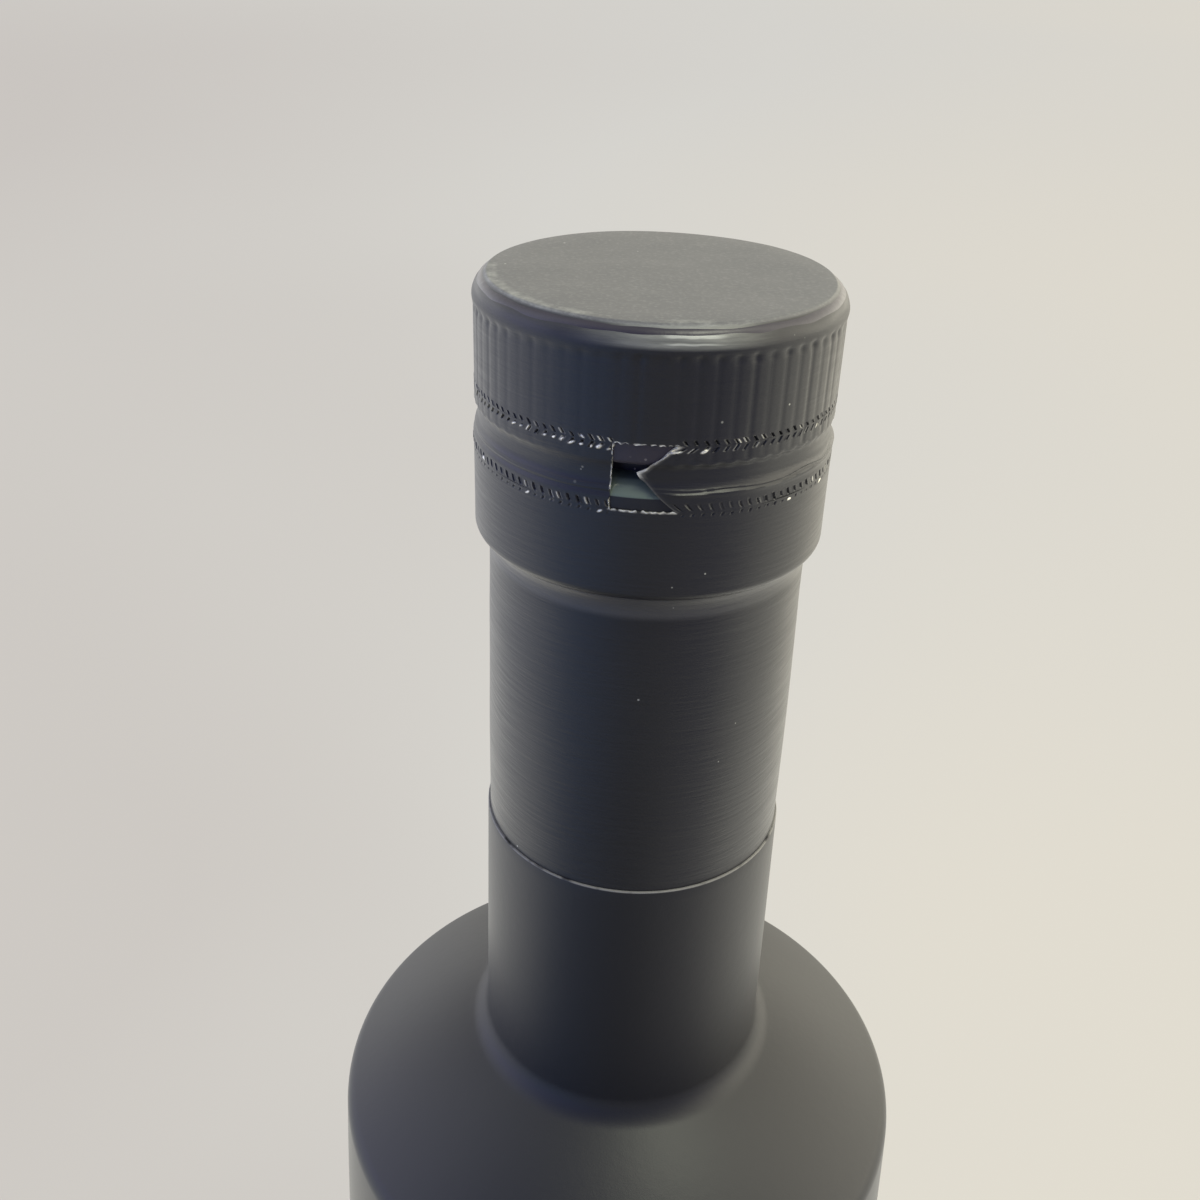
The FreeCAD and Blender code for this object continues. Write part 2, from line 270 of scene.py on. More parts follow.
def bottle_section():
    """The section of the bottle from the middle of the base up to the middle of the lip."""
    stand = np.linspace(0, STAND_R, 12)
    hollow = stand + 1j * BASE_PUSH * (1 - (stand / STAND_R) ** 2)
    heel_centre = BODY_R - HEEL_ROUND + 1j * HEEL_ROUND
    heel = arc(heel_centre, HEEL_ROUND, -math.pi / 2, 0, 16)
    flat = run(STAND_R + 0j, heel[0], 4)
    upright = BODY_R + 1j * (SHOULDER_Z - LEAN_LENGTH)

    lean_r = (LEAN_LENGTH ** 2 + LEAN_DEPTH ** 2) / (2 * LEAN_DEPTH)
    lean_centre = upright - lean_r
    corner = BODY_R - LEAN_DEPTH + 1j * SHOULDER_Z
    foot = FOOT_R + 1j * FOOT_Z
    dome_centre = circles_meet(corner, DOME_R, foot, DOME_R, 1)
    round_centre = circles_meet(lean_centre, lean_r - SHOULDER_ROUND,
                                dome_centre, DOME_R - SHOULDER_ROUND, 1)

    neck_way = (LEDGE_R + 1j * LEDGE_Z) - foot
    neck_way = neck_way / abs(neck_way)
    aside = foot - 1j * neck_way * FOOT_ROUND
    reach = aside - dome_centre
    along = (reach * neck_way.conjugate()).real
    back = math.sqrt(along ** 2 - abs(reach) ** 2 + (DOME_R + FOOT_ROUND) ** 2)
    foot_centre = aside + neck_way * (back - along)

    lean_end = np.angle(round_centre - lean_centre)
    dome_start = np.angle(round_centre - dome_centre)
    dome_end = np.angle(foot_centre - dome_centre)
    lean = arc(lean_centre, lean_r, 0, lean_end, 24)
    shoulder = arc(round_centre, SHOULDER_ROUND, lean_end, dome_start, 16)
    dome = arc(dome_centre, DOME_R, dome_start, dome_end, 24)
    neck_side = np.angle(-1j * neck_way) - math.pi
    foot_round = arc(foot_centre, FOOT_ROUND, dome_end - math.pi, neck_side, 20)
    neck = run(foot_round[-1], LEDGE_R + 1j * (LEDGE_Z - 0.12), 24)
    ledge_round = arc(LEDGE_R - 0.12 + 1j * (LEDGE_Z - 0.12), 0.12, 0, math.pi / 2, 6)
    seat = np.array([SEAT_R + 1j * LEDGE_Z, NECK_R + 1j * (RING_Z - 2.2), SHELF_R + 1j * RING_Z,
                     RING_R - 0.7 + 1j * RING_Z])
    ring = arc(RING_R - 0.7 + 1j * (RING_Z + 0.7), 0.7, -math.pi / 2, 0, 6)
    bevel = np.array([RING_R + 1j * (LIP_Z - LIP_BEVEL - 0.15), RING_R - 0.03 + 1j * (LIP_Z - LIP_BEVEL),
                      RING_R - 0.15 + 1j * (LIP_Z - LIP_BEVEL + 0.14),
                      RING_R - LIP_BEVEL + 0.15 + 1j * (LIP_Z - 0.12),
                      RING_R - LIP_BEVEL - 0.1 + 1j * LIP_Z])
    lip = run(bevel[-1], 1j * LIP_Z, 6)
    return section(hollow, flat, heel, run(heel[-1], upright, 18), lean, shoulder, dome, foot_round, neck,
                   ledge_round, np.concatenate([ledge_round[-1:], seat]), ring,
                   np.concatenate([ring[-1:], bevel]), lip)


outline = bottle_section()
around = np.linspace(0, 2 * math.pi, 256, endpoint=False)
glass = grid_mesh("glass_bottle", turned(outline.real[:, None], around[None, :], outline.imag[:, None]),
                  poles=(True, True))


def coated_glass():
    """Satin black coat with a faint orange peel and a little dust, with a painted highlight along the
    edge of the ledge; bare glossy glass at the ring."""
    material, start = new_material("coated_glass")
    place, _, _, height = place_of(start)
    bare = rise(height, LIP_Z - LIP_BEVEL - 0.12, LIP_Z - LIP_BEVEL)
    peel = grain(start, place, (1, 1, 1), 900)
    fine = grain(start, place, (1, 1, 1), 6000)
    dust = specks(start, place, 260, 0.12, 0.05)
    cloud = grain(start, place, (1, 1, 0.4), 30, 3.0)
    # Painted highlight along the rounded edge of the ledge, broken up by noise.
    ledge = rise(height, LEDGE_Z - 0.16, LEDGE_Z - 0.06) * rise(height, LEDGE_Z + 1.0, LEDGE_Z + 0.5)
    lightened = ledge * grain(start, place, (1, 1, 1), 420, 3.0).step(0.30, 0.52)
    surface(start, {
        "Base Color": bare.blend(lightened.blend(dust.blend(COAT_BLACK, COAT_DUST), COAT_LEDGE_HIGHLIGHT), BARE_GLASS),
        "Roughness": (0.44 + cloud * 0.06) * (1 - bare) + bare * 0.12,
        "IOR": 1.5,
    }, (peel * 0.5 + fine * 0.25) * (1 - bare), 0.00003)
    return material


glass.data.materials.append(coated_glass())
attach(glass, "root")
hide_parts("bottle")


# ---------------------------------------------------------------------------------------------
# The stopper: a moulded dark plastic head on a narrower collar that stands on the glass lip. It is
# pressed into the neck, and the foil holds it down.

CROWN_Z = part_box("stopper")[1][2] / MM
HEAD_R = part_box("stopper")[1][0] / MM
HEAD_Z = LIP_Z + 1.65
COLLAR_R = 14.0
HEAD_ROUND = 1.2
HEAD_FOOT_ROUND = 0.45

PLASTIC = (0.035, 0.030, 0.042)
CRUMB = (0.35, 0.32, 0.30)

collar_foot = COLLAR_R + 1j * LIP_Z
collar_top = COLLAR_R + 1j * HEAD_Z
head_foot = arc(HEAD_R - HEAD_FOOT_ROUND + 1j * (HEAD_Z + HEAD_FOOT_ROUND), HEAD_FOOT_ROUND,
                -math.pi / 2, 0, 10)
head_edge = arc(HEAD_R - HEAD_ROUND + 1j * (CROWN_Z - HEAD_ROUND), HEAD_ROUND, 0, math.pi / 2, 8)
outline = section(run(1j * LIP_Z, collar_foot, 4), run(collar_foot, collar_top, 4),
                  run(collar_top, head_foot[0], 4), head_foot, run(head_foot[-1], head_edge[0], 8),
                  head_edge, run(head_edge[-1], 1j * CROWN_Z, 4))
stopper = grid_mesh("stopper_head", turned(outline.real[:, None], around[None, :], outline.imag[:, None]),
                    poles=(True, True))


def stopper_plastic():
    """Smooth dark plastic with a few crumbs of cork and dust near the head's lower edge."""
    material, start = new_material("stopper_plastic")
    place, _, _, height = place_of(start)
    crumbs = specks(start, place, 2200, 0.25, 0.30) * rise(height, HEAD_Z + 0.9, HEAD_Z + 0.2)
    mottle = grain(start, place, (1, 1, 1), 1500)
    surface(start, {
        "Base Color": crumbs.blend(PLASTIC, CRUMB),
        "Roughness": 0.30 + mottle * 0.12,
    }, mottle, 0.00002)
    return material


stopper.data.materials.append(stopper_plastic())
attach(stopper, "root")
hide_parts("stopper")


# ---------------------------------------------------------------------------------------------
# The top of the capsule: soft aluminium foil under satin black lacquer, drawn over the stopper's
# head. Flat disc, uneven rounded bead, and 66 upright flutes pressed in round the wall. Slits are
# punched through along its lower edge, where the tear band comes off, and show bare metal.

TOP_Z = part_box("capsule_top")[1][2] / MM
UPPER_TEAR_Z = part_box("capsule_top")[0][2] / MM
LOWER_TEAR_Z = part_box("tear_band")[0][2] / MM
FOIL = 0.2
DISC_R = 15.7
EDGE_ROUND = 0.22
EDGE_TILT = math.radians(47)
BEAD_R = 17.12
BEAD_DROP = 2.05
BEAD_ROUND = 1.86
WALL_R = 17.03
FLUTES = 66
FLUTE_TOP = TOP_Z - 2.2
FLUTE_END = TOP_Z - 11.6
FLUTE_DEPTH = 0.055
FLUTE_WIDTH = 0.32
DIMPLE_DEPTH = 0.09
DIMPLE_WIDTH = 0.50
SLITS = 120
SLIT_DEPTH = 0.17
BURR = 0.05
CRUMB_LIFT = 0.13
UPPER_ROW = (TOP_Z - 10.02, TOP_Z - 9.56)
SECOND_ROW = (TOP_Z - 10.68, TOP_Z - 10.16)
GAP_LEFT = math.radians(-10.9)
GAP_RIGHT = math.radians(7.6)

LACQUER = (0.015, 0.015, 0.017)
# The paler lacquer of the flat top.
LACQUER_PALE_TOP = (0.138, 0.138, 0.137)
# Painted reflection: the paler lacquer of the band under the roll.
LACQUER_PAINTED_REFLECTION = (0.062, 0.062, 0.062)
# Wear and painted highlight: the colour of rubbed marks, dust marks, scratches and the bead's highlight.
LACQUER_WEAR_AND_HIGHLIGHT = (0.45, 0.46, 0.41)
BARE_METAL = (0.95, 0.93, 0.82)
# Painted shade inside the slits.
SLIT_SHADE = (0.003, 0.003, 0.003)

slit_offsets = np.array([-0.46, -0.33, -0.24, -0.18, -0.13, 0.0, 0.13, 0.18, 0.24, 0.33, 0.46])
flute_steps = np.linspace(-0.475, 0.475, 20)
flute_offsets = np.sign(flute_steps) * 0.5 * (2 * np.abs(flute_steps)) ** 1.5
slit_columns = (np.arange(SLITS)[:, None] + slit_offsets).ravel() * 2 * math.pi / SLITS
all_columns = np.arange(len(slit_columns))[None, :]
flute_columns = (np.arange(FLUTES)[:, None] + flute_offsets).ravel() * 2 * math.pi / FLUTES
flute_turn = (slit_columns - flute_columns).mean()
flute_columns = flute_columns + flute_turn


def eased(value, places, levels):
    """Levels joined by half cosine waves between the places, which rise."""
    nearest = np.clip(np.searchsorted(places, value) - 1, 0, len(places) - 2)
    places, levels = np.asarray(places), np.asarray(levels)
    share = np.clip((value - places[nearest]) / (places[nearest + 1] - places[nearest]), 0, 1)
    share = (1 - np.cos(math.pi * share)) / 2
    return levels[nearest] + share * (levels[nearest + 1] - levels[nearest])


def smooth(value, low, high):
    """0 below low and 1 above high, with a smooth rise between; it falls if low is above high."""
    share = np.clip((value - low) / (high - low), 0, 1)
    return share * share * (3 - 2 * share)


def hump(value, centre, width):
    """A bell: e^-((value - centre) / width)^2."""
    return np.exp(-((value - centre) / width) ** 2)


def ripple(azimuth, height, seed, turns, rate, waves=9):
    """Uneven waves of about 1 high: the sum of sines whose waves round the bottle and rate of phase
    per mm of height are drawn at random within these limits, over the root of half their number."""
    draw = np.random.default_rng(seed)
    across = draw.integers(turns[0], turns[1], waves)
    up = draw.uniform(-rate, rate, waves)
    phase = draw.uniform(0, 2 * math.pi, waves)
    angle = azimuth[..., None] * across + height[..., None] * up + phase
    return np.sin(angle).sum(-1) / math.sqrt(waves / 2)


def slant(height):
    """How far the columns lean, in slit pitches: out and back round each tear line, so that the slits
    slant one way above the line and the other way below it."""
    return 0.42 * (hump(height, UPPER_TEAR_Z - 0.1, 0.42) + 0.8 * hump(height, LOWER_TEAR_Z - 0.1, 0.45))


def slits(columns, azimuth, height, row, seed, bright, blobs):
    """Relief in mm, bare metal and painted shade of a row of slits. Each is a hole a quarter of its
    pitch wide between the row's two heights, with the shade inside it painted dark, and a raised rim
    that is higher at one side, and some have a leaning crumb of metal at their lower end. The holes
    are nearly shut in front, with less painted shade. bright and blobs, for each column, are the share
    of slits there whose rim is bare and the share with a crumb."""
    draw = np.random.default_rng(seed)
    slit = columns // len(slit_offsets) % SLITS
    offset = slit_offsets[columns % len(slit_offsets)]
    deep = draw.uniform(0.7, 1.0, SLITS)[slit]
    low = row[0] + draw.uniform(-0.04, 0.10, SLITS)[slit]
    high = row[1] + draw.uniform(-0.10, 0.04, SLITS)[slit]
    side = draw.choice([-1, 1], SLITS, p=[0.65, 0.35])[slit]
    lifted = draw.uniform(0.1, 1.0, SLITS)[slit]
    lit = (draw.uniform(0, 1, SLITS)[slit] < bright) * draw.uniform(0.1, 1.0, SLITS)[slit] ** 1.5
    crumb_at = draw.uniform(-0.12, 0.14, SLITS)[slit]
    crumb_lift = (draw.uniform(0, 1, SLITS)[slit] < blobs) * draw.uniform(0.4, 1.0, SLITS)[slit]
    crumb_wide = draw.uniform(0.11, 0.24, SLITS)[slit]
    crumb_tall = draw.uniform(0.10, 0.20, SLITS)[slit]
    crumb_lean = draw.uniform(-0.3, 1.0, SLITS)[slit]
    along = smooth(height, low - 0.04, low + 0.04) * smooth(height, high + 0.04, high - 0.04)
    hole = smooth(np.abs(offset), 0.16, 0.07) * along
    rim = (hump(offset, side * 0.20, 0.07) + 0.25 * hump(offset, side * -0.20, 0.06)) * along * lifted
    above = height - low - 0.12
    crumb = hump(offset, crumb_at + crumb_lean * above, crumb_wide) * hump(above, 0, crumb_tall)
    crumb = crumb * crumb_lift
    filled = smooth(crumb, 0.12, 0.5)
    relief = BURR * rim + CRUMB_LIFT * crumb - SLIT_DEPTH * deep * hole * (1 - filled)
    bare = np.clip(rim * lit * 1.5 + filled, 0, 1)
    # Painted shade: the open part of each hole is painted near black, less where the holes are nearly shut.
    open_part = 1 - 0.6 * front_left(azimuth)
    open_part = open_part - 0.45 * hump(signed(azimuth), math.radians(16), math.radians(12))
    return relief, bare, np.clip(hole * 0.85 * open_part - bare, 0, 1)


def bright_rims(azimuth):
    """Share of slits with a bare rim: most in front, few at the sides and behind."""
    return 0.10 + 0.75 * smooth(np.cos(azimuth + math.radians(4)), 0.70, 0.90)


def signed(azimuth):
    """The same azimuth between minus half a turn and half a turn."""
    return (azimuth + math.pi) % (2 * math.pi) - math.pi


def front_left(azimuth):
    """Near 1 from 14 to 38 degrees left of the front, 0 elsewhere."""
    turn = signed(azimuth)
    from_left = smooth(turn, math.radians(-50), math.radians(-38))
    return from_left * smooth(turn, math.radians(-6), math.radians(-14))


def pressing(azimuth):
    """How firmly the foil is pressed to the stopper all round: least a little left of the front."""
    return 1 - 0.75 * hump(signed(azimuth), math.radians(-25), math.radians(32))


def flutes(azimuth, height):
    """Relief of the flutes: flat facets between narrow grooves, each groove deeper and wider at its
    rounded upper end. The facet is the chord of its stretch of the circle."""
    turn = (azimuth - flute_turn) / (2 * math.pi) * FLUTES
    from_groove = turn - np.round(turn)
    across = from_groove * 2 * math.pi / FLUTES * WALL_R
    from_middle = (0.5 - np.abs(from_groove)) * 2 * math.pi / FLUTES
    facet = WALL_R * (math.cos(math.pi / FLUTES) / np.cos(from_middle) - 1)
    uneven = 1 + 0.2 * ripple(azimuth, 0 * height, 11, (5, 40), 0.0)
    dimple = DIMPLE_DEPTH * hump(height, FLUTE_TOP - 0.5, 0.42) * hump(across, 0, DIMPLE_WIDTH)
    groove = (FLUTE_DEPTH * hump(across, 0, FLUTE_WIDTH) + dimple) * uneven
    upper_end = smooth(height, FLUTE_TOP + 0.1, FLUTE_TOP - 0.3)
    lower_end = smooth(height, FLUTE_END - 0.05, FLUTE_END + 0.15)
    return (facet - groove) * (upper_end * lower_end) * pressing(azimuth)


def in_gap(azimuth, left, right):
    """1 in front, between the two ends of the tear band, and 0 elsewhere."""
    turn = signed(azimuth)
    return smooth(turn, left - 0.01, left + 0.01) * smooth(turn, right + 0.01, right - 0.01)


disc = run(1j * TOP_Z, DISC_R + 1j * TOP_Z, 7)
disc_edge = arc(DISC_R + 1j * (TOP_Z - EDGE_ROUND), EDGE_ROUND, math.pi / 2, EDGE_TILT, 5)
bead_arc = arc(BEAD_R - BEAD_ROUND + 1j * (TOP_Z - BEAD_DROP), BEAD_ROUND, EDGE_TILT, 0, 11)
bead = section(run(disc_edge[-1], bead_arc[0], 6), bead_arc)
wall_heights = np.concatenate([np.linspace(bead[-1].imag, FLUTE_TOP - 1.2, 9),
                               np.linspace(FLUTE_TOP - 1.8, TOP_Z - 9.2, 7),
                               np.linspace(TOP_Z - 9.45, UPPER_TEAR_Z, 11)])
wall = eased(wall_heights, (TOP_Z - 3.0, TOP_Z - BEAD_DROP), (WALL_R, BEAD_R)) + 1j * wall_heights
inside = np.array([WALL_R - FOIL + 1j * UPPER_TEAR_Z, WALL_R - FOIL + 1j * (TOP_Z - 2.2),
                   DISC_R - 0.1 + 1j * (TOP_Z - FOIL), 1j * (TOP_Z - FOIL)])
outline = section(disc, disc_edge, bead, np.append(wall, inside[:1]), inside)
outer = (np.arange(len(outline)) < len(outline) - len(inside))[:, None]
level = outline.imag[:, None] + 0 * slit_columns[None, :]
aligned = smooth(outline.imag, TOP_Z - 8.4, TOP_Z - 9.3)[:, None]
azimuth = flute_columns[None, :] * (1 - aligned) + slit_columns[None, :] * aligned
azimuth = azimuth + slant(level) * 2 * math.pi / SLITS * aligned
relief, bare, dark = slits(all_columns, azimuth, level, UPPER_ROW, 3, bright_rims(azimuth) * 0.8,
                           0.15 * bright_rims(azimuth))
torn = in_gap(azimuth, GAP_LEFT, GAP_RIGHT)
glints = np.clip(0.45 + 0.65 * ripple(azimuth, 0 * level, 10, (40, 170), 0.0), 0, 1)
edge = smooth(level, UPPER_TEAR_Z + 0.14, UPPER_TEAR_Z + 0.03) * torn
reach = outline.real[:, None]
on_disc = smooth(reach, DISC_R + 1.3, DISC_R - 0.5) * (reach / DISC_R) ** 2
on_bead = hump(outline.imag[:, None], TOP_Z - 1.0, 0.9) * smooth(reach, DISC_R - 0.6, DISC_R + 0.8)
turn = signed(azimuth)
sway = 0.10 * ripple(azimuth, 0 * level, 12, (4, 18), 0.0)
creased = smooth(turn, 0, math.radians(8)) * smooth(turn, math.radians(42), math.radians(30))
tucks = creased * (hump(level, TOP_Z - 0.90 + sway, 0.12)
                   + 0.8 * hump(level, TOP_Z - 1.40 + 0.7 * sway, 0.13))
relief = relief * (1 - torn) + flutes(azimuth, level) + 0.025 * tucks * on_bead
relief = relief + 0.012 * on_bead * ripple(azimuth, level, 5, (4, 24), 5.0)
radius = reach + outer * relief
height = level + outer * (0.020 * on_disc * ripple(azimuth, level, 6, (2, 7), 0.0)
                          + 0.008 * on_bead * ripple(azimuth, level, 8, (4, 30), 3.0))
height = height + edge * 0.05 * ripple(azimuth, 0 * level, 9, (30, 200), 0.0)
capsule_top = grid_mesh("capsule_top_foil", turned(radius, azimuth, height), poles=(True, True), marks={
    "bare": np.maximum(bare * outer * (1 - torn), edge * glints),
    "dark": dark * outer * (1 - torn),
})


# Specks of dust: azimuth in degrees, radius, height from the top, size in mm, and how pale.
DUST_MARKS = (
    (31, 15.87, -44.0, 0.14, 0.9), (10, 15.9, -26.0, 0.12, 0.9), (18, 17.13, -22.0, 0.11, 0.9),
    (41, 16.9, -1.4, 0.13, 0.9), (45, 17.0, -1.8, 0.12, 0.9), (42, 17.0, -7.4, 0.12, 0.9),
    (19.5, 17.0, -8.0, 0.14, 0.5), (-3, 17.0, -0.7, 0.10, 0.8), (37, 15.9, -40.0, 0.10, 0.5),
    (-20, 16.78, -12.7, 0.14, 0.35), (-20.5, 16.74, -12.95, 0.10, 0.45), (-22, 17.0, -14.1, 0.20, 0.16),
)


def spot(start, place, azimuth, radius, from_top, size, strength):
    """A soft mark of size mm around a point given as in DUST_MARKS: strength inside it, 0 outside."""
    angle = math.radians(azimuth)
    middle = (radius * math.sin(angle) * MM, -radius * math.cos(angle) * MM, (TOP_Z + from_top) * MM)
    off = start.node("ShaderNodeVectorMath", {"operation": "DISTANCE"}, {0: place, 1: middle}, 1)
    return off.step(size * MM, size * 0.4 * MM) * strength


def lacquered_foil(name):
    """Satin black lacquer on soft aluminium. Fine streaks run round the foil; the flat top is paler, and
    the band under the roll is paler as a painted reflection; the disc's rim is rubbed, and the front
    of the bead has rubbed lacquer under a painted highlight, brightest along two creases; bare metal
    and the painted shade of the holes show where their attributes say so."""
    material, start = new_material(name)
    place, across, along, height = place_of(start)
    bare = start.node("ShaderNodeAttribute", {"attribute_name": "bare"}, {}, 2)
    # The painted shade of the slits, from its attribute.
    dark = start.node("ShaderNodeAttribute", {"attribute_name": "dark"}, {}, 2)
    streaks = grain(start, place, (1, 1, 14), 170, 3.0, 0.6)
    fine = grain(start, place, (1, 1, 3), 2600)
    mottle = grain(start, place, (1, 1, 1), 420, 3.0)
    reach = (across * across + along * along) ** 0.5
    flat = rise(height, TOP_Z - 0.35, TOP_Z - 0.1)
    rim = rise(reach, DISC_R - 1.1, DISC_R - 0.5) * rise(height, TOP_Z - 0.25, TOP_Z - 0.1)
    rubbed = rim * mottle.step(0.40, 0.70) * (0 - along + across * -0.9).step(0.004, 0.016)
    dust = specks(start, place, 420, 0.05, 0.06)
    scratch = grain(start, place, (1, 9, 1), 260, 2.0).step(0.70, 0.74) * flat
    # Painted reflection: the band under the roll is made paler, standing for the bright floor it mirrors.
    reflection_band = rise(height, TOP_Z - 27.6, TOP_Z - 26.8) * rise(height, TOP_Z - 24.6, TOP_Z - 25.0)
    bead = rise(height, TOP_Z - 2.6, TOP_Z - 1.9) - flat
    lacquer = reflection_band.blend(flat.blend(LACQUER, LACQUER_PALE_TOP), LACQUER_PAINTED_REFLECTION)
    marks = sum((spot(start, place, *mark) for mark in DUST_MARKS), dust * 0.8)
    sideways = across / reach
    facing = (0 - along).step(0.004, 0.012)
    # Painted highlight of the lamp on the front of the bead, over rubbed lacquer.
    bead_front = rise(height, TOP_Z - 2.0, TOP_Z - 1.5) * rise(height, TOP_Z - 0.05, TOP_Z - 0.25) * facing
    bead_front = bead_front * sideways.step(-0.50, 0.05) * sideways.step(0.62, 0.30)
    sway = (grain(start, place, (1, 1, 0.1), 260) - 0.5) * 0.9 * MM
    # Two painted highlight streaks along the creases of the bead.
    upper_crease = height + sway - (TOP_Z - 0.85) * MM
    lower_crease = height + sway * 0.7 - (TOP_Z - 1.40) * MM
    creases = (rise(upper_crease.math("ABSOLUTE", upper_crease), 0.17, 0.03)
               + rise(lower_crease.math("ABSOLUTE", lower_crease), 0.12, 0.03) * 0.6)
    creases = creases * sideways.step(0.0, 0.10) * sideways.step(0.36, 0.22)
    bead_rub_and_highlight = bead_front * (streaks * 0.80 + creases)
    # Real wear and dust, together with the bead's painted highlight.
    wear_and_highlight = rubbed * 0.35 + marks + bead_rub_and_highlight + scratch * 0.10 + (fine - 0.5) * flat * 0.6
    lightened = wear_and_highlight.blend(lacquer, LACQUER_WEAR_AND_HIGHLIGHT)
    surface(start, {
        "Base Color": dark.blend(bare.blend(lightened, BARE_METAL), SLIT_SHADE),
        "Metallic": bare * (1 - dark) * 0.6,
        "Roughness": (0.29 + streaks * 0.18 + flat * 0.16 + bead * 0.06) * (1 - bare) + bare * 0.45,
        "IOR": 1.5,
    }, streaks * 1.1 + fine * 0.25 + mottle * flat * 0.4, 0.00004)
    return material


foil = lacquered_foil("lacquered_foil")
capsule_top.data.materials.append(foil)
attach(capsule_top, "root")
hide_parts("capsule_top")


# ---------------------------------------------------------------------------------------------
# The tear band: the strip of foil that is pulled off to open the bottle. It is pressed into a
# groove over the gap between stopper and lip, its free end is cut to an arrow, and beside the arrow
# the foil is missing. Its cut ends are bare metal.

ARROW_HEIGHTS = (LOWER_TEAR_Z, TOP_Z - 14.74, TOP_Z - 12.76, UPPER_TEAR_Z)
ARROW_EDGE = (8.0, 3.2, -3.63, 7.6)
BAND_KNOTS = (LOWER_TEAR_Z, TOP_Z - 14.95, TOP_Z - 14.45, TOP_Z - 13.3, TOP_Z - 12.2, TOP_Z - 11.6,
              UPPER_TEAR_Z)
BAND_RADII = (17.13, 17.13, 17.03, 16.70, 16.71, 17.02, 17.03)
LOOSE_KNOTS = (LOWER_TEAR_Z, TOP_Z - 14.95, TOP_Z - 14.45, TOP_Z - 13.5, TOP_Z - 10.8, UPPER_TEAR_Z)
LOOSE_RADII = (17.13, 17.13, 17.03, 16.72, 17.02, 17.03)
THIRD_ROW = (TOP_Z - 15.9, TOP_Z - 15.25)
BAND_END = 2 * math.pi + GAP_LEFT
CUT_COLUMNS = np.array([0.0, 0.003, 0.008])
CUT_MARGIN = 0.016
RIGHT_CUT = 0.009
LEFT_CUT = 0.008

heights = np.concatenate([
    np.linspace(UPPER_TEAR_Z, TOP_Z - 10.8, 13),
    np.linspace(TOP_Z - 11.0, TOP_Z - 11.9, 7),
    np.linspace(TOP_Z - 12.1, TOP_Z - 13.7, 9),
    np.linspace(TOP_Z - 13.85, TOP_Z - 14.6, 13),
    np.linspace(TOP_Z - 14.8, TOP_Z - 15.15, 4),
    np.linspace(TOP_Z - 15.22, LOWER_TEAR_Z, 13),
])
back_heights = np.linspace(LOWER_TEAR_Z, UPPER_TEAR_Z, 10)
level = np.concatenate([heights, back_heights])[:, None]
outer = (np.arange(len(level)) < len(heights))[:, None]
inner_columns = np.flatnonzero((slit_columns > GAP_RIGHT + CUT_MARGIN)
                               & (slit_columns < BAND_END - CUT_MARGIN))
base_columns = np.concatenate([GAP_RIGHT + CUT_COLUMNS, slit_columns[inner_columns],
                               BAND_END - CUT_COLUMNS[::-1]])[None, :]
from_right = base_columns - GAP_RIGHT
from_left = BAND_END - base_columns
numbers = np.concatenate([inner_columns[:1].repeat(3), inner_columns, inner_columns[-1:].repeat(3)])[None, :]
arrow = np.radians(np.interp(level, ARROW_HEIGHTS, ARROW_EDGE)) - GAP_RIGHT
straight = np.radians(-0.5) * smooth(level, UPPER_TEAR_Z, LOWER_TEAR_Z)
near_arrow = np.clip(1 - from_right / math.radians(15), 0, 1) ** 2
near_straight = np.clip(1 - from_left / math.radians(6), 0, 1) ** 2
cut_right = np.clip(1 - from_right / RIGHT_CUT, 0, 1)
cut_left = np.clip(1 - from_left / LEFT_CUT, 0, 1)
keep = (1 - cut_right) * (1 - cut_left)
ragged = np.radians(0.55) * ripple(0 * level, level, 21, (1, 2), 34.0, 12)
azimuth = (base_columns + near_arrow * arrow + near_straight * straight
           + slant(level) * 2 * math.pi / SLITS * keep
           + ragged * (cut_right * smooth(level, TOP_Z - 13.4, TOP_Z - 12.7) + 0.25 * cut_left))
level = level + 0 * azimuth
relief_a, bare_a, hole_shade_a = slits(numbers, azimuth, level, SECOND_ROW, 4, bright_rims(azimuth) * 0.8,
                                 0.85 * front_left(azimuth) + 0.15 * bright_rims(azimuth))
bright_left = 0.7 * hump(signed(azimuth), math.radians(-27), math.radians(11)) + 0.08
faint = 1 - 0.65 * hump(signed(azimuth), math.radians(22), math.radians(17))
third_row = slits(numbers, azimuth, level, THIRD_ROW, 15, bright_left, 0.02)
relief_b, bare_b, hole_shade_b = (part * faint for part in third_row)
scallop = 0.10 * np.cos((azimuth - flute_turn) * FLUTES) * pressing(azimuth)
crisp = eased(level + scallop * hump(level, FLUTE_END, 0.5), BAND_KNOTS, BAND_RADII)
loose = eased(level, LOOSE_KNOTS, LOOSE_RADII)
groove = crisp + 0.85 * hump(signed(azimuth), math.radians(-22), math.radians(26)) * (loose - crisp)
wander = 0.05 * ripple(azimuth, 0 * level, 31, (6, 22), 0.0)
right_side = 0.35 + 0.65 * smooth(np.sin(azimuth), -0.1, 0.3)
creases = 0.055 * right_side * (hump(level, TOP_Z - 14.02 + wander, 0.07)
                                + 0.9 * hump(level, TOP_Z - 14.33 + 0.7 * wander, 0.06)
                                - 0.6 * hump(level, TOP_Z - 14.17 + wander, 0.06))
to_right = smooth(np.sin(azimuth), 0.0, 0.2) * hump(level, TOP_Z - 14.45, 0.26)
to_left = smooth(np.sin(azimuth), 0.0, -0.2) * hump(level, TOP_Z - 14.55, 0.28)
relief = (relief_a + relief_b) * keep + flutes(azimuth, level) + creases + 0.15 * to_right - 0.09 * to_left
relief = relief + 0.02 * ripple(azimuth, level, 33, (4, 14), 0.5)
radius = groove - FOIL * (1 - outer) + outer * relief
glints = np.clip(0.5 + 0.6 * ripple(0 * level, level, 24, (1, 2), 12.0, 12), 0, 1)
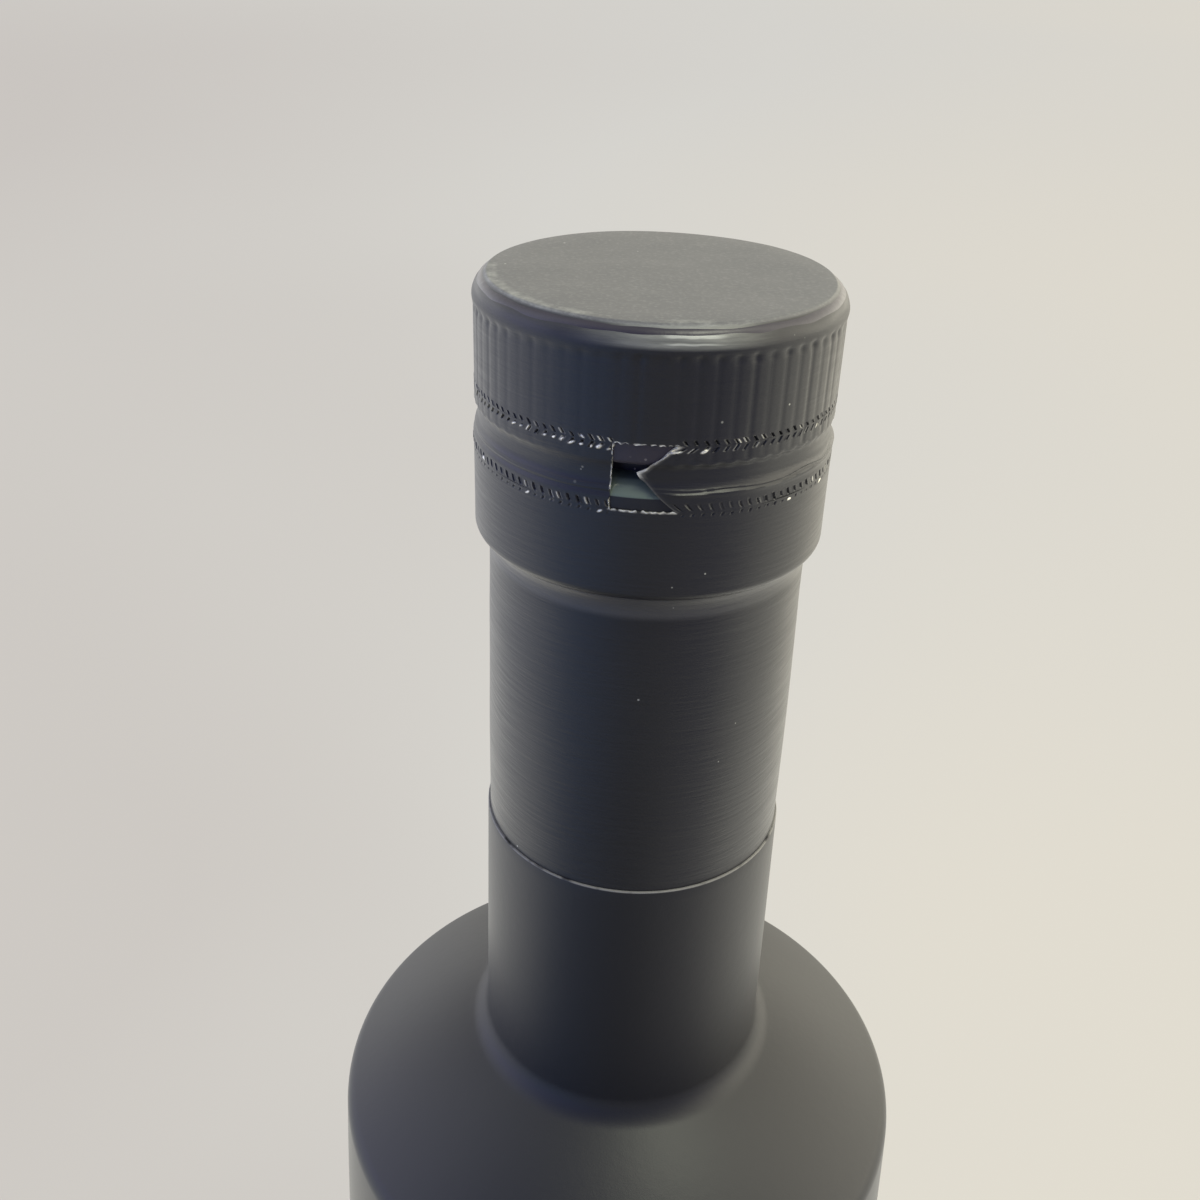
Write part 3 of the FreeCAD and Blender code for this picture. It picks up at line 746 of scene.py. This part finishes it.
upper_cut = smooth(level, TOP_Z - 13.2, TOP_Z - 12.7)
cut_ends = np.maximum(cut_right * (0.08 + (0.3 + 0.62 * glints) * upper_cut), cut_left * glints)
tear_band = grid_mesh("tear_band_foil", turned(radius, azimuth, level), ring=False, loop=True, marks={
    "bare": np.clip(np.maximum((bare_a + bare_b) * keep * outer, cut_ends), 0, 1),
    "dark": np.clip((hole_shade_a + hole_shade_b) * keep * outer, 0, 1),
})
tear_band.data.materials.append(foil)
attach(tear_band, "root")
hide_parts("tear_band")


# ---------------------------------------------------------------------------------------------
# The skirt of the capsule: foil rolled in under the finish ring and pressed down the neck to the
# moulded ledge. A row of pin-holes runs just below its upper edge, which is ragged bare metal where
# the tear band is missing.

SKIRT_R = 17.13
ROLL = 0.93
UNDER_Z = RING_Z - 0.23
FOURTH_ROW = (TOP_Z - 16.46, TOP_Z - 16.16)
FOIL_KNOTS = (LEDGE_Z, TOP_Z - 52, TOP_Z - 46, TOP_Z - 40, TOP_Z - 34, TOP_Z - 31, TOP_Z - 27)
FOIL_RADII = (16.03, 16.0, 15.97, 15.92, 15.85, 15.77, 15.75)
SLOPE_TOP = UNDER_Z - 0.2
SLOPE_END = TOP_Z - 27
SLOPE_FLARE = 0.40

upper = np.concatenate([np.linspace(LOWER_TEAR_Z, TOP_Z - 16.6, 11),
                        np.linspace(TOP_Z - 16.9, UNDER_Z + ROLL, 7)])
roll = arc(SKIRT_R - ROLL + 1j * (UNDER_Z + ROLL), ROLL, 0, -math.pi / 2, 10)
shelf_end = 16.14 + 1j * (UNDER_Z - 0.02)
slope_heights = np.linspace(SLOPE_TOP, SLOPE_END, 10)
slope_share = (slope_heights - SLOPE_END) / (SLOPE_TOP - SLOPE_END)
slope = FOIL_RADII[-1] + SLOPE_FLARE * slope_share ** 2.6 + 1j * slope_heights
neck_heights = np.linspace(TOP_Z - 27.6, LEDGE_Z, 22)
neck = np.interp(neck_heights, FOIL_KNOTS, FOIL_RADII) + 1j * neck_heights
back = np.array([FOIL_RADII[0] - FOIL + 1j * LEDGE_Z, 15.55 + 1j * (TOP_Z - 27.2),
                 15.95 + 1j * (UNDER_Z + 0.2),
                 SKIRT_R - FOIL - 0.5 + 1j * (UNDER_Z + 0.2), SKIRT_R - FOIL + 1j * (UNDER_Z + 0.9),
                 SKIRT_R - FOIL + 1j * LOWER_TEAR_Z])
outline = np.concatenate([SKIRT_R + 1j * upper, roll[1:], [shelf_end], slope, neck, back])
outer = (np.arange(len(outline)) < len(outline) - len(back))[:, None]
level = outline.imag[:, None] + 0 * slit_columns[None, :]
azimuth = slit_columns[None, :] + slant(level) * 2 * math.pi / SLITS
relief, bare, dark = slits(all_columns, azimuth, level, FOURTH_ROW, 6, 0.15 * bright_rims(azimuth),
                           0.06 * front_left(azimuth) + 0.01)
torn = in_gap(azimuth, math.radians(-11.4), math.radians(8.0))
edge = smooth(level, LOWER_TEAR_Z - 0.15, LOWER_TEAR_Z - 0.04) * torn * outer
on_neck = smooth(level, UNDER_Z - 1.5, UNDER_Z - 6) * outer
on_skirt = smooth(level, UNDER_Z + 0.5, UNDER_Z + 2.5) * outer
radius = outline.real[:, None] + outer * (
    0.5 * relief * (1 - torn) + 0.018 * on_skirt * ripple(azimuth, level, 41, (3, 11), 0.3)
    + 0.012 * on_neck * ripple(azimuth, level, 43, (3, 9), 0.5))
glints = np.clip(0.75 + 0.4 * ripple(azimuth, 0 * level, 48, (40, 170), 0.0), 0, 1)
height = level + edge * (0.04 + 0.05 * ripple(azimuth, 0 * level, 45, (30, 220), 0.0))
at_ledge = smooth(level, LEDGE_Z + 0.5, LEDGE_Z) * outer
height = height + 0.03 * at_ledge * ripple(azimuth, 0 * level, 47, (2, 9), 0.0)
skirt = grid_mesh("capsule_skirt_foil", turned(radius, azimuth, height), loop=True, marks={
    "bare": np.maximum(bare * outer * (1 - torn), edge * glints),
    "dark": dark * outer * (1 - torn),
})
skirt.data.materials.append(foil)
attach(skirt, "root")
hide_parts("capsule_skirt")


# ---------------------------------------------------------------------------------------------
# The stage: a wide pale floor and the soft light of a room, given by direction: a large window at
# the right, a pale wall behind, a cooler side at the left, little from the front, and one small
# lamp above the right. The camera stands above and in front of the bottle.

FLOOR_PALE = (0.62, 0.60, 0.56)
FLOOR_LEFT = (0.59, 0.56, 0.535)
FLOOR_MIDDLE = (0.69, 0.68, 0.645)
FLOOR_RIGHT = (0.77, 0.73, 0.64)
WORLD_PALE = (0.66, 0.64, 0.61)
FLOOR_REACH = 14.0
FLOOR_LIT = 0.25

WARM = (1.0, 0.95, 0.80)
PALE = (1.0, 0.98, 0.88)
EVEN = (1.0, 1.0, 1.0)
MILKY = (0.84, 0.88, 1.0)
COOL = (0.58, 0.60, 1.0)
TEAL = (0.37, 0.58, 1.0)
BLUE = (0.28, 0.38, 1.0)
CEILING = (0.43, 0.445, 0.455)

# The light of the room by direction, as strengths and tints: behind, left of it, left, front left,
# front, front right, right and right of behind. High and low in the room, then as it lies on the
# floor, near and far. A least-squares trial of each direction's light gave the first values, which
# were then rounded, changed and split into a strength and a tint.
HIGH_ROOM = ((0.15, EVEN), (0.6, PALE), (1.8, MILKY), (0.5, BLUE),
             (0.15, BLUE), (0.75, EVEN), (3.0, WARM), (1.4, WARM))
LOW_ROOM = ((1.6, WARM), (2.55, EVEN), (2.3, COOL), (1.1, BLUE),
            (0.3, BLUE), (0.4, COOL), (3.8, WARM), (3.8, WARM))
NEAR_FLOOR = ((0.8, PALE), (1.9, PALE), (1.4, PALE), (0.2, EVEN),
              (0.1, PALE), (0.7, PALE), (1.6, PALE), (1.8, PALE))
FAR_FLOOR = ((0.6, PALE), (1.3, EVEN), (1.4, MILKY), (0.9, TEAL),
             (0.35, EVEN), (0.36, COOL), (1.3, PALE), (1.7, WARM))
NEAR_REACH = 0.20
FAR_REACH = 0.72
BRIGHTEST = 4.0

floor_mesh = bpy.data.meshes.new("floor")
ring = np.linspace(0, 2 * math.pi, 96, endpoint=False)
floor_points = np.stack([FLOOR_REACH * np.cos(ring), FLOOR_REACH * np.sin(ring), 0 * ring], -1)
floor_mesh.from_pydata(floor_points, [], [list(range(96))])
floor = bpy.data.objects.new("floor", floor_mesh)
bpy.context.collection.objects.link(floor)


def round_about(turn, lights):
    """The light by azimuth, smooth from one direction to the next, in parts of BRIGHTEST. turn goes
    from 0 behind, by the left and the front, to 1 behind again."""
    stops = [(place / len(lights), [strength * part / BRIGHTEST for part in tint])
             for place, (strength, tint) in enumerate([*lights, lights[0]])]
    return turn.node("ShaderNodeValToRGB", {"stops": stops, "ease": "EASE"}, {0: turn})


def turn_of(across, along):
    """The azimuth of a direction as a part of a turn, 0.5 in front."""
    return across.math("ARCTAN2", across, 0 - along) / (2 * math.pi) + 0.5


def floor_material():
    """Pale matt floor. Seen by the camera it also glows, a little cooler and dimmer at the left and
    warmer and brighter at the right; mirrored, it shows the light that lies on it in the room. It
    keeps the bottle's shadow."""
    material, start = new_material("floor_pale")
    place, across, along, _ = place_of(start)
    reach = (across * across + along * along) ** 0.5
    octaves = reach.math("LOGARITHM", reach + 0.02, 2.0)
    side = (across / reach).step(-0.75, 0.75)
    spread = start.node("ShaderNodeCombineXYZ", {},
                        {0: across / reach, 1: along / reach * 0.5, 2: octaves * 0.5})
    cloud = grain(start, spread, (1, 1, 1), 1.5, 1.0)
    stops = ((0.0, FLOOR_LEFT), (0.5, FLOOR_MIDDLE), (1.0, FLOOR_RIGHT))
    tone = start.node("ShaderNodeValToRGB", {"stops": stops}, {0: side + (cloud - 0.5) * 0.5})
    far = octaves.step(math.log2(NEAR_REACH), math.log2(FAR_REACH))
    turn = turn_of(across, along)
    mirrored = far.blend(round_about(turn, NEAR_FLOOR), round_about(turn, FAR_FLOOR))
    matt = start.node("ShaderNodeBsdfDiffuse", {}, {"Color": (*FLOOR_PALE, 1.0)})
    glow = start.node("ShaderNodeEmission", {}, {"Color": tone, "Strength": 1.0})
    shine = start.node("ShaderNodeEmission", {}, {"Color": mirrored, "Strength": BRIGHTEST})
    by_camera = start.node("ShaderNodeLightPath", {}, {}, "Is Camera Ray")
    by_gloss = start.node("ShaderNodeLightPath", {}, {}, "Is Glossy Ray")
    by_glass = start.node("ShaderNodeLightPath", {}, {}, "Is Transmission Ray")
    seen = start.node("ShaderNodeMixShader", {}, {0: by_camera * (1 - FLOOR_LIT), 1: matt, 2: glow})
    by_mirror = by_gloss.math("MAXIMUM", by_gloss, by_glass)
    seen = start.node("ShaderNodeMixShader", {}, {0: by_mirror, 1: seen, 2: shine})
    start.node("ShaderNodeOutputMaterial", {}, {0: seen})
    return material


floor.data.materials.append(floor_material())
floor.data.materials[0].cycles.emission_sampling = "NONE"

world = bpy.data.worlds.new("soft_room")
bpy.context.scene.world = world
world.use_nodes = True
world.node_tree.nodes.clear()
sky = Wire(world.node_tree)
direction = sky.node("ShaderNodeTexCoord", {}, {}, 0)
across, along, upward = (sky.node("ShaderNodeSeparateXYZ", {}, {0: direction}, axis) for axis in range(3))
elevation = upward.math("ARCSINE", upward)
turn = turn_of(across, along)
ceiling = tuple(part / BRIGHTEST for part in CEILING)
room = elevation.step(0, math.radians(40)).blend(round_about(turn, LOW_ROOM), round_about(turn, HIGH_ROOM))
room = elevation.step(math.radians(40), math.radians(85)).blend(room, ceiling)
pale = sky.node("ShaderNodeLightPath", {}, {}, "Is Camera Ray")
shown = pale.blend(room, tuple(part / BRIGHTEST for part in WORLD_PALE))
glow = sky.node("ShaderNodeBackground", {}, {"Color": shown, "Strength": BRIGHTEST})
sky.node("ShaderNodeOutputWorld", {}, {0: glow})

softbox_data = bpy.data.lights.new("softbox", "AREA")
softbox_data.shape = "RECTANGLE"
softbox_data.size = 0.40
softbox_data.size_y = 0.22
softbox_data.energy = 5.5
softbox_data.color = (0.98, 1.0, 0.80)
softbox = bpy.data.objects.new("softbox", softbox_data)
bpy.context.collection.objects.link(softbox)
softbox.location = (0.37, -0.275, 1.42)
softbox.rotation_euler = (Vector((0, 0, TOP_Z * MM)) - softbox.location).to_track_quat("-Z", "Y").to_euler()

CAMERA_BACK = 0.1132
CAMERA_OVER_TOP = 0.02906
PITCH = math.radians(29.22)
YAW = math.radians(-2.26)
ROLL_ANGLE = math.radians(2.06)
camera_data = bpy.data.cameras.new("camera")
camera_data.sensor_width = 36.0
camera_data.lens = 37.5
camera_data.clip_start = 0.005
camera = bpy.data.objects.new("camera", camera_data)
bpy.context.collection.objects.link(camera)
forward = Vector((math.sin(YAW) * math.cos(PITCH), math.cos(YAW) * math.cos(PITCH), -math.sin(PITCH)))
level_right = Vector((math.cos(YAW), -math.sin(YAW), 0))
level_up = level_right.cross(forward)
right = math.cos(ROLL_ANGLE) * level_right + math.sin(ROLL_ANGLE) * level_up
up = math.cos(ROLL_ANGLE) * level_up - math.sin(ROLL_ANGLE) * level_right
turned_to = Matrix((right, up, -forward)).transposed().to_4x4()
camera.matrix_world = Matrix.Translation((0, -CAMERA_BACK, TOP_Z * MM + CAMERA_OVER_TOP)) @ turned_to
bpy.context.scene.camera = camera
bpy.context.scene.view_settings.view_transform = "Standard"
